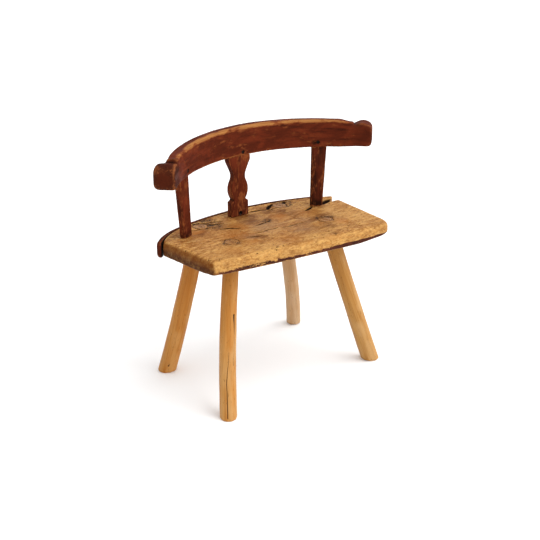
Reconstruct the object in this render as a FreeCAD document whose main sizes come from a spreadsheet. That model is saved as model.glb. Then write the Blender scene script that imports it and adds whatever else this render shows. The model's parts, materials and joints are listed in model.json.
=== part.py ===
import FreeCAD, Part
import math
import os

import Sketcher
from FreeCAD import Rotation, Vector

# A low-backed wooden milking stool.  A thick plank seat with a bowed back edge stands on four splayed
# round legs, whose tenons pass through the seat and are spread by wedges.  Two flat posts and a
# vase-shaped splat rise from the seat and carry a bowed crest rail with a knob-like ear at each end.
# A thin strip is nailed along the bowed back edge of the seat.
#
# Millimetres.  +X runs along the seat to its right end, +Y from the front edge to the back, +Z up.
# The origin is on the floor, under the middle of the stool's box.  Angles are in degrees.

DIMENSIONS = {
    # seat board: a plank whose ends spread towards the back and whose front edge runs out of square
    "seat_top": 375,
    "seat_thickness": 34,
    "seat_front_left_x": -250,
    "seat_front_left_y": -127,
    "seat_front_right_x": 250,
    "seat_front_right_y": -181,
    "seat_back_left_x": -263,
    "seat_back_left_y": 46,
    "seat_back_right_x": 275,
    "seat_back_right_y": 48,
    "seat_front_radius": 6200,
    "seat_shoulder_angle": -19,
    "seat_shoulder_radius": 190,
    "seat_corner_left_radius": 12,
    "seat_corner_right_radius": 45,
    "seat_rear_corner_radius": 14,
    "seat_edge_round": 14,
    "seat_edge_ease": 5,
    # bowed back edge of the seat: an arc about a point far in front of it
    "bow_centre_x": 5,
    "bow_centre_y": -473,
    "bow_radius": 606,
    # split in the right back corner, open along the grain to a point in the board
    "split_tip_angle": 25.8,
    "split_point_x": 236,
    "split_point_y": 47,
    "split_mouth_y": 58,
    "split_lip": 8,
    # strip along the back edge, sprung away from the seat at its left end
    "strip_thickness": 14,
    "strip_height": 40,
    "strip_end_angle": 22.5,
    "strip_left_turn": 48.7,
    "strip_gap": 3,
    "strip_end_round": 9,
    "strip_round": 7,
    # crest rail: an arc about a point in front of the seat, with straight ears that step out behind it
    "crest_bottom": 525.5,
    "crest_centre_y": -264,
    "crest_inner_radius": 353,
    "crest_thickness": 28,
    "crest_height": 70.5,
    "crest_crown_x": 40,
    "crest_crown_radius": 4400,
    "crest_crown_half_span": 360,
    "crest_raised_left": 12,
    "crest_raised_right": 2,
    "crest_end_round": 7,
    "crest_top_round": 5,
    "crest_lower_round": 2,
    "ear_angle": 46,
    "ear_depth": 50,
    "ear_left_height": 48.5,
    "ear_right_height": 55,
    "ear_left_length": 55,
    "ear_right_length": 47.5,
    "ear_corner_round": 14,
    "ear_edge_round": 11,
    "ear_face_round": 3,
    "ear_lap": 10,
    "ear_setback": 0.4,
    # posts: flat staves that widen upwards, with a tenon at each end
    "post_base_width": 31.5,
    "post_base_depth": 16,
    "post_top_width": 38.5,
    "post_top_depth": 17,
    "post_edge_round": 6,
    "post_turn": 20,
    "post_tenon_width": 20,
    "post_tenon_depth": 10,
    "post_tenon_foot": 24,
    "post_tenon_head": 36,
    "post_left_x": -199,
    "post_left_y": 48,
    "post_left_lean_x": -14,
    "post_left_lean_y": -9,
    "post_right_x": 187,
    "post_right_y": 36,
    "post_right_lean_x": 13,
    "post_right_lean_y": 8,
    # splat: a sawn board with a vase outline, half widths at each height above the seat
    "splat_x": -12,
    "splat_front_y": 88.5,
    "splat_thickness": 19,
    "splat_base_half": 25,
    "splat_shoulder_z": 36,
    "splat_neck_half": 16.5,
    "splat_neck_z": 42,
    "splat_bulge_radius": 43,
    "splat_bulge_top_half": 18.5,
    "splat_bulge_top_z": 90,
    "splat_waist_radius": 25.5,
    "splat_flare_half": 19,
    "splat_flare_z": 112,
    "splat_cheek_half": 30,
    "splat_cheek_z": 136,
    "splat_cheek_radius": 12,
    "splat_top_half": 31,
    "splat_top_z": 146,
    "splat_tenon_half": 17,
    "splat_tenon_depth": 10,
    "splat_tenon_foot": 22,
    "splat_tenon_head": 30,
    # legs: whittled poles, slightly bowed, thicker at the foot
    "leg_foot_radius": 19.8,
    "leg_middle_radius": 19.2,
    "leg_shoulder_radius": 18.2,
    "leg_tenon_radius": 17,
    "leg_middle_share": 0.45,
    "leg_tenon_excess": 16,
    "wedge_width": 28,
    "wedge_thickness": 3.2,
    "wedge_length": 23,
    # pegs and nails
    "peg_radius": 3.2,
    "peg_length": 22,
    "peg_recess": 1,
    "toe_nail_radius": 2.4,
    "toe_nail_length": 28,
    "toe_nail_recess": 3,
    "toe_nail_x": -11,
    "toe_nail_rise": 7,
    "toe_nail_tilt": 28,
    "strip_nail_radius": 1.8,
    "strip_nail_length": 32,
    "strip_nail_recess": 1,
}

# Each leg: axis at the seat top, axis at the floor, the bow of its middle seen from above, and how
# thick it is beside the others.
LEGS = {
    "leg_front_left": {"top": (-136, -43), "foot": (-231, -152), "bow": (-4.0, 3.0), "girth": 1.0},
    "leg_front_right": {"top": (135, -59), "foot": (230, -135), "bow": (-2.0, 0.0), "girth": 1.06},
    "leg_back_left": {"top": (-132, 87), "foot": (-212, 134), "bow": (2.5, -1.5), "girth": 1.09},
    "leg_back_right": {"top": (115, 94), "foot": (215, 155), "bow": (9.0, -2.0), "girth": 0.97},
}
# Pegs through the face of the crest rail: angle along the rail, and height above its underside.
PEGS = {"left": (-35, 12), "middle": (-0.2, 8), "right": (32.3, 12.5)}
STRIP_NAIL_ANGLES = (-20, -7, 4, 18)
POST_SIDES = {"left": 1, "right": -1}

doc = FreeCAD.newDocument("milking_stool")
dims = doc.addObject("Spreadsheet::Sheet", "dims")


def fill_sheet():
    """One row per driving dimension, and five rows per leg."""
    cells = dict(DIMENSIONS)
    for leg, places in LEGS.items():
        cells[f"{leg}_girth"] = places["girth"]
        for end in ("top", "foot"):
            cells[f"{leg}_{end}_x"], cells[f"{leg}_{end}_y"] = places[end]
    for row, (alias, number) in enumerate(cells.items(), start=1):
        dims.set(f"A{row}", alias)
        dims.set(f"B{row}", str(number))
        dims.setAlias(f"B{row}", alias)
    doc.recompute()


def value(expression):
    """The number that an expression over the sheet gives now."""
    return float(dims.evalExpression(str(expression)))


def bind(target, **expressions):
    """Sets properties from expressions; a double underscore stands for a dot in the path."""
    for path, expression in expressions.items():
        target.setExpression(path.replace("__", "."), str(expression))


def new_body(label):
    """An empty PartDesign body with a label of its own."""
    body = doc.addObject("PartDesign::Body", label)
    body.Label = label
    return body


def new_sketch(body, name, plane, height=0):
    """A sketch on one of the body's own origin planes, lifted by an expression."""
    sketch = body.newObject("Sketcher::SketchObject", name)
    origin_plane = next(f for f in body.Origin.OriginFeatures if f.Role == plane)
    sketch.AttachmentSupport = [(origin_plane, "")]
    sketch.MapMode = "FlatFace"
    bind(sketch, AttachmentOffset__Base__z=height)
    return sketch


def constrain(sketch, kind, *where_and_expression):
    """Adds a dimension whose datum follows an expression."""
    *where, expression = where_and_expression
    index = sketch.addConstraint(Sketcher.Constraint(kind, *where, value(expression)))
    sketch.setExpression(f"Constraints[{index}]", str(expression))


def pin(sketch, element, end, x, y):
    """Fixes one end of an element at expressions for its sketch coordinates."""
    constrain(sketch, "DistanceX", -1, 1, element, end, x)
    constrain(sketch, "DistanceY", -1, 1, element, end, y)


def arc_through(start, finish, radius):
    """The shorter arc between two points; a positive radius bulges to the right of the way."""
    chord = finish - start
    half = chord.Length / 2
    side = Vector(-chord.y, chord.x, 0).normalize() * math.copysign(1, radius)
    centre = start + chord / 2 + side * math.sqrt(radius * radius - half * half)
    begin, end = (start, finish) if radius > 0 else (finish, start)
    angles = [math.atan2(p.y - centre.y, p.x - centre.x) for p in (begin, end)]
    return Part.ArcOfCircle(Part.Circle(centre, Vector(0, 0, 1), abs(radius)), *angles)


def draw_outline(sketch, corners):
    """A closed outline.  Each corner is (x, y, radius): expressions for its place, and for the radius
    of the arc to the next corner, or None for a straight side."""
    points = [Vector(value(x), value(y), 0) for x, y, _ in corners]
    starts = []
    for index, (x, y, radius) in enumerate(corners):
        start, finish = points[index], points[(index + 1) % len(points)]
        if radius is None:
            element = sketch.addGeometry(Part.LineSegment(start, finish))
            starts.append((element, 1, 2))
            continue
        bulge = value(radius)
        element = sketch.addGeometry(arc_through(start, finish, bulge))
        starts.append((element, 1, 2) if bulge > 0 else (element, 2, 1))
    for index, (x, y, radius) in enumerate(corners):
        element, begin, _ = starts[index]
        before, _, end = starts[index - 1]
        sketch.addConstraint(Sketcher.Constraint("Coincident", before, end, element, begin))
        pin(sketch, element, begin, x, y)
        if radius is not None:
            constrain(sketch, "Radius", element, f"abs({radius})")


def draw_rectangle(sketch, width, depth, x=0, y=0):
    """A rectangle of that width and depth about a centre, all expressions."""
    corners = [
        (f"{x} {sx} ({width}) / 2", f"{y} {sy} ({depth}) / 2", None)
        for sx, sy in (("-", "-"), ("+", "-"), ("+", "+"), ("-", "+"))
    ]
    draw_outline(sketch, corners)


def draw_rounded_rectangle(sketch, width, depth, corner, x=0, y=0):
    """A rectangle with round corners about a centre, all expressions."""
    reach_x, reach_y = f"({width}) / 2", f"({depth}) / 2"
    inset_x, inset_y = f"(({width}) / 2 - {corner})", f"(({depth}) / 2 - {corner})"
    corners = [
        (f"{x} + {inset_x}", f"{y} - {reach_y}", corner),
        (f"{x} + {reach_x}", f"{y} - {inset_y}", None),
        (f"{x} + {reach_x}", f"{y} + {inset_y}", corner),
        (f"{x} + {inset_x}", f"{y} + {reach_y}", None),
        (f"{x} - {inset_x}", f"{y} + {reach_y}", corner),
        (f"{x} - {reach_x}", f"{y} + {inset_y}", None),
        (f"{x} - {reach_x}", f"{y} - {inset_y}", corner),
        (f"{x} - {inset_x}", f"{y} - {reach_y}", None),
    ]
    draw_outline(sketch, corners)


def draw_circle(sketch, radius, x=0, y=0):
    """A circle about a pinned centre."""
    centre = Vector(value(x), value(y), 0)
    circle = Part.Circle(centre, Vector(0, 0, 1), value(radius))
    element = sketch.addGeometry(circle)
    pin(sketch, element, 3, x, y)
    constrain(sketch, "Radius", element, radius)


def pad(body, name, sketch, length, reverse=False):
    """A Pad of that sketch, checked to add material."""
    before = body.Shape.Volume if body.Tip else 0
    feature = body.newObject("PartDesign::Pad", name)
    feature.Profile = sketch
    feature.Reversed = reverse
    bind(feature, Length=length)
    doc.recompute()
    if body.Shape.Volume <= before:
        raise RuntimeError(f"{name} adds nothing")
    return feature


def pocket(body, name, sketch, depth, reverse=False):
    """A Pocket of that sketch, checked to remove material."""
    before = body.Shape.Volume
    feature = body.newObject("PartDesign::Pocket", name)
    feature.Profile = sketch
    feature.Reversed = reverse
    bind(feature, Length=depth)
    doc.recompute()
    if body.Shape.Volume >= before:
        raise RuntimeError(f"{name} cuts nothing")
    return feature


def round_edges(body, name, wanted, radius):
    """A Fillet on the edges of the body's tip that the test accepts."""
    base = body.Tip
    edges = [f"Edge{i}" for i, edge in enumerate(base.Shape.Edges, start=1) if wanted(edge)]
    feature = body.newObject("PartDesign::Fillet", name)
    feature.Base = (base, edges)
    bind(feature, Radius=radius)
    doc.recompute()
    return feature


def is_upright(edge):
    """True for a straight edge that runs nearly along Z."""
    run = edge.Vertexes[-1].Point - edge.Vertexes[0].Point
    return run.Length > 1 and abs(run.z) > 0.9 * run.Length


def lies_at(edge, height):
    """True for an edge whose whole length is at that height."""
    return abs(edge.BoundBox.ZMin - height) < 0.01 and abs(edge.BoundBox.ZMax - height) < 0.01


def bow_point(angle, radius="dims.bow_radius"):
    """Expressions for a point on the seat's bow, at an angle from straight back."""
    return (
        f"dims.bow_centre_x + ({radius}) * sin({angle})",
        f"dims.bow_centre_y + ({radius}) * cos({angle})",
    )


def crest_point(angle, radius):
    """Expressions for a point of the crest rail about its own centre."""
    return f"({radius}) * sin({angle})", f"({radius}) * cos({angle})"


def crest_end_point(side, distance, radius):
    """Expressions for a point past the bend of the rail, on the straight run of one of its ends."""
    x, y = crest_point("dims.ear_angle", radius)
    return (
        f"{side} * ({x} + ({distance}) * cos(dims.ear_angle))",
        f"{y} - ({distance}) * sin(dims.ear_angle)",
    )


def make_seat_board():
    """The plank, before its mortises: outline, split corner and worn edges."""
    body = new_body("seat_board")
    bind(body, Placement__Base__z="dims.seat_top - dims.seat_thickness")
    outline = new_sketch(body, "seat_outline", "XY_Plane")
    shoulder = bow_point("dims.seat_shoulder_angle")
    tip = bow_point("dims.split_tip_angle")
    draw_outline(
        outline,
        [
            ("dims.seat_front_left_x", "dims.seat_front_left_y", "dims.seat_front_radius"),
            ("dims.seat_front_right_x", "dims.seat_front_right_y", None),
            ("dims.seat_back_right_x", "dims.seat_back_right_y", None),
            ("dims.split_point_x", "dims.split_point_y", None),
            (tip[0], "dims.split_mouth_y + dims.split_lip", None),
            (*tip, "dims.bow_radius"),
            (*shoulder, "dims.seat_shoulder_radius"),
            ("dims.seat_back_left_x", "dims.seat_back_left_y", None),
        ],
    )
    pad(body, "seat_plank", outline, "dims.seat_thickness")

    def at_corner(place):
        x, y = (value(f"dims.seat_{place}_{axis}") for axis in "xy")
        return lambda edge: is_upright(edge) and math.dist(edge.CenterOfMass[:2], (x, y)) < 1

    round_edges(body, "corner_left", at_corner("front_left"), "dims.seat_corner_left_radius")
    round_edges(body, "corner_right", at_corner("front_right"), "dims.seat_corner_right_radius")
    round_edges(body, "corner_rear", at_corner("back_right"), "dims.seat_rear_corner_radius")
    thickness = value("dims.seat_thickness")
    split_x = value("dims.split_point_x")
    rear = value("dims.seat_back_left_y")

    def on_ends_or_front(edge):
        middle = edge.CenterOfMass
        return lies_at(edge, thickness) and middle.y < rear and not (middle.x > split_x and middle.y > 0.9 * rear)

    round_edges(body, "worn_rim", on_ends_or_front, "dims.seat_edge_round")
    round_edges(body, "eased_rim", lambda e: lies_at(e, 0) and e.CenterOfMass.y < rear, "dims.seat_edge_ease")
    return body


def make_back_strip():
    """A strip with a rounded outer face that follows the bowed back edge of the seat, and stands a
    little away from it at the left end."""
    body = new_body("seat_back_strip_blank")
    bind(body, Placement__Base__z="dims.seat_top - dims.strip_height")
    outline = new_sketch(body, "strip_outline", "XY_Plane")
    outer_radius = "dims.bow_radius + dims.strip_thickness"
    outer_shoulder = "dims.seat_shoulder_radius + dims.strip_thickness"

    def left_end(distance):
        return (
            f"dims.seat_back_left_x - ({distance}) * sin(dims.strip_left_turn)",
            f"dims.seat_back_left_y + ({distance}) * cos(dims.strip_left_turn)",
        )

    draw_outline(
        outline,
        [
            (*bow_point("dims.strip_end_angle", outer_radius), outer_radius),
            (*bow_point("dims.seat_shoulder_angle", outer_radius), outer_shoulder),
            (*left_end("dims.strip_gap + dims.strip_thickness"), None),
            (*left_end("dims.strip_gap"), "-dims.seat_shoulder_radius"),
            (*bow_point("dims.seat_shoulder_angle"), "-dims.bow_radius"),
            (*bow_point("dims.strip_end_angle"), None),
        ],
    )
    pad(body, "strip_band", outline, "dims.strip_height")
    corner = [value(place) for place in left_end("dims.strip_gap + dims.strip_thickness")]

    def at_left_corner(edge):
        return is_upright(edge) and math.dist(edge.CenterOfMass[:2], corner) < 1

    round_edges(body, "rounded_end", at_left_corner, "dims.strip_end_round")
    height = value("dims.strip_height")
    outer = value(outer_radius)
    centre = Vector(value("dims.bow_centre_x"), value("dims.bow_centre_y"), 0)

    def on_outer_rim(edge):
        level = lies_at(edge, height) or lies_at(edge, 0)
        curved = edge.Curve.TypeId == "Part::GeomCircle"
        return level and curved and edge.Curve.Radius in (outer, value(outer_shoulder))

    round_edges(body, "rounded_back", on_outer_rim, "dims.strip_round")
    return body


def make_crest_bow():
    """The bowed rail without its ears, before the mortises.  Its own origin is the centre of its arc, and
    a short straight run carries each end over the ear."""
    body = new_body("crest_bow")
    bind(body, Placement__Base__z="dims.crest_bottom", Placement__Base__y="dims.crest_centre_y")
    inner = "dims.crest_inner_radius"
    outer = "dims.crest_inner_radius + dims.crest_thickness"
    outline = new_sketch(body, "crest_outline", "XY_Plane")
    draw_outline(
        outline,
        [
            (*crest_end_point(1, "dims.crest_raised_right", inner), None),
            (*crest_end_point(1, "dims.crest_raised_right", outer), None),
            (*crest_end_point(1, 0, outer), outer),
            (*crest_end_point(-1, 0, outer), None),
            (*crest_end_point(-1, "dims.crest_raised_left", outer), None),
            (*crest_end_point(-1, "dims.crest_raised_left", inner), None),
            (*crest_end_point(-1, 0, inner), f"-({inner})"),
            (*crest_end_point(1, 0, inner), None),
        ],
    )
    pad(body, "crest_band", outline, "dims.crest_height")
    shape_crest_top(body)
    long_edge = value("dims.crest_inner_radius")
    low = value("dims.crest_height / 2")

    def is_fall(edge):
        reaches = [math.hypot(vertex.X, vertex.Y) for vertex in edge.Vertexes]
        across = max(reaches) - min(reaches) > value("dims.crest_thickness") / 2
        return across and edge.CenterOfMass.z > low

    def is_top_edge(edge):
        return edge.Length > long_edge and edge.CenterOfMass.z > low

    def is_lower_edge(edge):
        return edge.Length > long_edge and lies_at(edge, 0)

    round_edges(body, "fall_to_ears", is_fall, "dims.crest_end_round")
    round_edges(body, "top_edges", is_top_edge, "dims.crest_top_round")
    round_edges(body, "lower_edges", is_lower_edge, "dims.crest_lower_round")
    return body


def shape_crest_top(body):
    """Cuts the top to a low crown, highest a little right of the middle."""
    crown = new_sketch(body, "crest_crown", "XZ_Plane")
    middle, span, radius = "dims.crest_crown_x", "dims.crest_crown_half_span", "dims.crest_crown_radius"
    low = f"dims.crest_height - {radius} + sqrt({radius} ^ 2 - {span} ^ 2)"
    high = "2 * dims.crest_height"
    draw_outline(
        crown,
        [
            (f"{middle} - {span}", low, f"-({radius})"),
            (f"{middle} + {span}", low, None),
            (f"{middle} + {span}", high, None),
            (f"{middle} - {span}", high, None),
        ],
    )
    feature = pocket(body, "crown_cut", crown, "3 * dims.crest_inner_radius")
    feature.Midplane = True
    doc.recompute()


def make_ear(side, sign):
    """The knob-like block at one end of the rail, rounded all over.  Its face and underside stand back
    from the rail's by a hair."""
    body = new_body(f"ear_{side}")
    bind(body, Placement__Base__z="dims.crest_bottom + dims.ear_setback", Placement__Base__y="dims.crest_centre_y")
    face = "dims.crest_inner_radius + dims.ear_setback"
    back = "dims.crest_inner_radius + dims.ear_depth"
    start, end = "-dims.ear_lap", f"dims.ear_{side}_length"
    outline = new_sketch(body, f"ear_{side}_outline", "XY_Plane")
    way_round = [(start, face), (start, back), (end, back), (end, face)]
    draw_outline(outline, [(*crest_end_point(sign, run, radius), None) for run, radius in way_round])
    tall = f"dims.ear_{side}_height - dims.ear_setback"
    pad(body, f"ear_{side}_block", outline, tall)
    behind = value("dims.crest_inner_radius + dims.ear_depth / 2")

    def depth(edge):
        bend = math.radians(value("dims.ear_angle"))
        middle = edge.CenterOfMass
        return abs(middle.x) * math.sin(bend) + middle.y * math.cos(bend)

    def is_back_corner(edge):
        return is_upright(edge) and depth(edge) > behind

    def is_rim(edge):
        level = lies_at(edge, 0) or lies_at(edge, value(tall))
        return level and depth(edge) > value(face) + 1

    def is_face_edge(edge):
        return depth(edge) < value(face) + 0.1

    round_edges(body, f"ear_{side}_corners", is_back_corner, "dims.ear_corner_round")
    round_edges(body, f"ear_{side}_rims", is_rim, "dims.ear_edge_round")
    round_edges(body, f"ear_{side}_face", is_face_edge, "dims.ear_face_round")
    return body


def make_crest_board():
    """The rail and its ears as one board."""
    board = doc.addObject("Part::MultiFuse", "crest_board")
    board.Shapes = [make_crest_bow(), make_ear("left", -1), make_ear("right", 1)]
    return board


def make_post(side):
    """A flat stave with a tenon at each end.  Its own origin is the middle of its foot on the seat, and
    it is turned towards the run of the crest rail above it."""
    label = f"post_{side}"
    turn = f"{POST_SIDES[side]} * dims.post_turn"
    body = new_body(f"{label}_blank")
    bind(
        body,
        Placement__Base__x=f"dims.{label}_x",
        Placement__Base__y=f"dims.{label}_y",
        Placement__Base__z="dims.seat_top",
        Placement__Rotation__Angle=turn,
    )
    rise = "dims.crest_bottom - dims.seat_top"
    lean_x = f"(dims.{label}_lean_x * cos({turn}) + dims.{label}_lean_y * sin({turn}))"
    lean_y = f"(dims.{label}_lean_y * cos({turn}) - dims.{label}_lean_x * sin({turn}))"
    foot = new_sketch(body, f"{label}_foot_section", "XY_Plane")
    draw_rounded_rectangle(foot, "dims.post_base_width", "dims.post_base_depth", "dims.post_edge_round")
    head = new_sketch(body, f"{label}_head_section", "XY_Plane", rise)
    draw_rounded_rectangle(
        head, "dims.post_top_width", "dims.post_top_depth", "dims.post_edge_round", lean_x, lean_y
    )
    stave = body.newObject("PartDesign::AdditiveLoft", f"{label}_stave")
    stave.Profile = foot
    stave.Sections = [head]
    stave.Ruled = True
    doc.recompute()
    foot_tenon = new_sketch(body, f"{label}_foot_tenon_section", "XY_Plane")
    draw_rectangle(foot_tenon, "dims.post_tenon_width", "dims.post_tenon_depth")
    pad(body, f"{label}_foot_tenon", foot_tenon, "dims.post_tenon_foot", reverse=True)
    head_tenon = new_sketch(body, f"{label}_head_tenon_section", "XY_Plane", rise)
    draw_rectangle(head_tenon, "dims.post_tenon_width", "dims.post_tenon_depth", lean_x, lean_y)
    pad(body, f"{label}_head_tenon", head_tenon, "dims.post_tenon_head")
    return body


def splat_side(sign):
    """Corners of one side of the vase outline, from the seat up, as half widths and heights."""
    rise = "dims.crest_bottom - dims.seat_top"
    corners = [
        ("dims.splat_base_half", "0", None),
        ("dims.splat_base_half", "dims.splat_shoulder_z", None),
        ("dims.splat_neck_half", "dims.splat_neck_z", "dims.splat_bulge_radius"),
        ("dims.splat_bulge_top_half", "dims.splat_bulge_top_z", "-dims.splat_waist_radius"),
        ("dims.splat_flare_half", "dims.splat_flare_z", None),
        ("dims.splat_cheek_half", "dims.splat_cheek_z", "dims.splat_cheek_radius"),
        ("dims.splat_top_half", "dims.splat_top_z", None),
        ("dims.splat_top_half", rise, None),
    ]
    return [(f"{sign} * {half}", height, radius) for half, height, radius in corners]


def make_splat():
    """A board with a vase outline and a tenon at each end.  Its own origin is the middle of the foot of
    its front face."""
    body = new_body("splat_blank")
    bind(
        body,
        Placement__Base__x="dims.splat_x",
        Placement__Base__y="dims.splat_front_y",
        Placement__Base__z="dims.seat_top",
    )
    face = new_sketch(body, "splat_face", "XZ_Plane")
    right, left = splat_side("1"), splat_side("-1")
    way_down = [(*left[i][:2], left[i - 1][2] if i else None) for i in reversed(range(len(left)))]
    draw_outline(face, right + way_down)
    pad(body, "splat_board", face, "dims.splat_thickness", reverse=True)
    rise = "dims.crest_bottom - dims.seat_top"
    middle = "dims.splat_thickness / 2"
    for end, height, length in (("foot", "0", "dims.splat_tenon_foot"), ("head", rise, "dims.splat_tenon_head")):
        section = new_sketch(body, f"splat_{end}_tenon_section", "XY_Plane", height)
        draw_rectangle(section, "2 * dims.splat_tenon_half", "dims.splat_tenon_depth", y=middle)
        pad(body, f"splat_{end}_tenon", section, length, reverse=end == "foot")
    return body


def leg_axis(leg):
    """Foot, direction and length expression of a leg's axis, from the floor to the seat top."""
    foot, top = (
        Vector(value(f"dims.{leg}_{end}_x"), value(f"dims.{leg}_{end}_y"), height)
        for end, height in (("foot", 0), ("top", value("dims.seat_top")))
    )
    runs = [f"(dims.{leg}_top_{axis} - dims.{leg}_foot_{axis}) ^ 2" for axis in "xy"]
    return foot, (top - foot).normalize(), f"sqrt({runs[0]} + {runs[1]} + dims.seat_top ^ 2)"


def make_leg_blank(leg):
    """A slightly bowed round pole with a straight round tenon.  Its own Z axis runs up the leg, and it
    is left long at both ends."""
    foot, direction, length = leg_axis(leg)
    body = new_body(f"{leg}_blank")
    body.Placement = FreeCAD.Placement(foot, Rotation(Vector(0, 0, 1), direction))
    bow = body.Placement.Rotation.inverted().multVec(Vector(*LEGS[leg]["bow"], 0))
    tilt = f"acos(dims.seat_top / ({length}))"
    underside = "dims.seat_top - dims.seat_thickness"
    shoulder = f"({underside} - 1 - dims.leg_shoulder_radius * sin({tilt})) / cos({tilt})"
    sections = (
        ("foot", "-0.5 * dims.leg_foot_radius", "dims.leg_foot_radius", 0, 0),
        ("middle", f"dims.leg_middle_share * ({length})", "dims.leg_middle_radius", bow.x, bow.y),
        ("shoulder", shoulder, "dims.leg_shoulder_radius", 0, 0),
    )
    rings = []
    for name, height, radius, x, y in sections:
        ring = new_sketch(body, f"{leg}_{name}", "XY_Plane", height)
        draw_circle(ring, f"{radius} * dims.{leg}_girth", x, y)
        rings.append(ring)
    pole = body.newObject("PartDesign::AdditiveLoft", f"{leg}_pole")
    pole.Profile = rings[0]
    pole.Sections = rings[1:]
    doc.recompute()
    tenon = new_sketch(body, f"{leg}_tenon_section", "XY_Plane", shoulder)
    draw_circle(tenon, "dims.leg_tenon_radius")
    pad(body, f"{leg}_tenon", tenon, f"({length}) - {shoulder} + dims.leg_tenon_excess")
    return body


def make_wedge(leg):
    """The wedge that spreads a leg's tenon, across the grain of the seat, left long at the top."""
    foot, direction, length = leg_axis(leg)
    wedge = doc.addObject("Part::Wedge", f"{leg}_wedge")
    half_width, half_thickness = "dims.wedge_width / 2", "dims.wedge_thickness / 2"
    bind(
        wedge,
        Xmin=f"-{half_thickness} / 4",
        Xmax=f"{half_thickness} / 4",
        X2min=f"-{half_thickness}",
        X2max=half_thickness,
        Ymin="0",
        Ymax="dims.wedge_length + dims.leg_tenon_excess / 2",
        Zmin=f"-{half_width}",
        Zmax=half_width,
        Z2min=f"-{half_width}",
        Z2max=half_width,
    )
    tip = foot + direction * (value(length) - value("dims.wedge_length"))
    wedge.Placement = FreeCAD.Placement(tip, Rotation(Vector(0, 1, 0), direction))
    return wedge


def make_fastener(name, mouth, direction, radius, length, recess):
    """A round pin and the hole that it sits in.  The pin stops short of the mouth by the recess, and the
    hole runs out past the mouth."""
    outside = 5
    turn = Rotation(Vector(0, 0, 1), direction)
    pin_cylinder = doc.addObject("Part::Cylinder", name)
    bind(pin_cylinder, Radius=radius, Height=f"{length} - {recess}")
    pin_cylinder.Placement = FreeCAD.Placement(mouth + direction * value(recess), turn)
    hole = doc.addObject("Part::Cylinder", f"{name}_hole")
    bind(hole, Radius=radius, Height=f"{length} + {outside}")
    hole.Placement = FreeCAD.Placement(mouth - direction * outside, turn)
    return pin_cylinder, hole


def make_pegs():
    """One peg through the face of the crest rail for each upright."""
    pegs = {}
    for name, (angle, height) in PEGS.items():
        direction = Vector(math.sin(math.radians(angle)), math.cos(math.radians(angle)), 0)
        centre = Vector(0, value("dims.crest_centre_y"), value("dims.crest_bottom") + height)
        mouth = centre + direction * value("dims.crest_inner_radius")
        pegs[name] = make_fastener(
            f"peg_{name}", mouth, direction, "dims.peg_radius", "dims.peg_length", "dims.peg_recess"
        )
    return pegs


def make_toe_nail():
    """A nail driven down through the foot of the splat into the seat."""
    tilt = math.radians(value("dims.toe_nail_tilt"))
    direction = Vector(0, math.sin(tilt), -math.cos(tilt))
    mouth = Vector(*(value(f) for f in (
        "dims.toe_nail_x", "dims.splat_front_y", "dims.seat_top + dims.toe_nail_rise")))
    return make_fastener(
        "toe_nail", mouth, direction, "dims.toe_nail_radius", "dims.toe_nail_length", "dims.toe_nail_recess"
    )


def make_strip_nails():
    """Nails through the back strip into the edge of the seat, square to the bow."""
    nails = []
    centre = Vector(value("dims.bow_centre_x"), value("dims.bow_centre_y"), 0)
    height = Vector(0, 0, value("dims.seat_top - dims.strip_height / 2"))
    reach = value("dims.bow_radius + dims.strip_thickness")
    for number, angle in enumerate(STRIP_NAIL_ANGLES, start=1):
        outward = Vector(math.sin(math.radians(angle)), math.cos(math.radians(angle)), 0)
        mouth = centre + outward * reach + height
        nails.append(make_fastener(
            f"strip_nail_{number}", mouth, outward * -1,
            "dims.strip_nail_radius", "dims.strip_nail_length", "dims.strip_nail_recess",
        ))
    return nails


def group(name, members):
    """Several solids held as one object."""
    compound = doc.addObject("Part::Compound", name)
    compound.Label = name
    compound.Links = members
    return compound


def cut(label, base, tools):
    """The base with those tools cut from it."""
    result = doc.addObject("Part::Cut", label)
    result.Label = label
    result.Base = base
    result.Tool = tools[0] if len(tools) == 1 else group(f"{label}_tools", tools)
    return result


def common(label, base, tool):
    """What the base and the tool share."""
    result = doc.addObject("Part::Common", label)
    result.Label = label
    result.Base, result.Tool = base, tool
    return result


def make_height_slab():
    """A slab from the floor to the seat top, which trims the legs and wedges flush."""
    slab = doc.addObject("Part::Box", "height_slab")
    bind(slab, Length="4 * dims.crest_inner_radius", Width="4 * dims.crest_inner_radius", Height="dims.seat_top")
    half = value("2 * dims.crest_inner_radius")
    slab.Placement.Base = Vector(-half, -half, 0)
    return slab


def assemble():
    """Builds every piece, lets each into its neighbours and returns the finished ones."""
    seat_board, strip_blank, crest_board = make_seat_board(), make_back_strip(), make_crest_board()
    posts = {side: make_post(side) for side in POST_SIDES}
    splat_blank = make_splat()
    pegs, (toe_nail, toe_hole), strip_nails = make_pegs(), make_toe_nail(), make_strip_nails()
    slab = make_height_slab()
    legs = {leg: common(f"{leg}_pole_trimmed", make_leg_blank(leg), slab) for leg in LEGS}
    wedges = {leg: make_wedge(leg) for leg in LEGS}
    peg_holes = {name: hole for name, (_, hole) in pegs.items()}
    strip_holes = [hole for _, hole in strip_nails]
    uprights = [*posts.values(), splat_blank]
    return [
        cut("seat", seat_board, [*legs.values(), *uprights, toe_hole, *strip_holes]),
        cut("seat_back_strip", strip_blank, strip_holes),
        cut("crest_rail", crest_board, [*uprights, *peg_holes.values()]),
        *(cut(f"post_{side}", blank, [peg_holes[side]]) for side, blank in posts.items()),
        cut("splat", splat_blank, [peg_holes["middle"], toe_hole]),
        *(cut(leg, trimmed, [wedges[leg]]) for leg, trimmed in legs.items()),
        common("leg_wedges", group("wedges_long", list(wedges.values())), slab),
        group("crest_pegs", [pin_cylinder for pin_cylinder, _ in pegs.values()]),
        group("splat_nail", [toe_nail]),
        group("strip_nails", [nail for nail, _ in strip_nails]),
    ]


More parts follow.
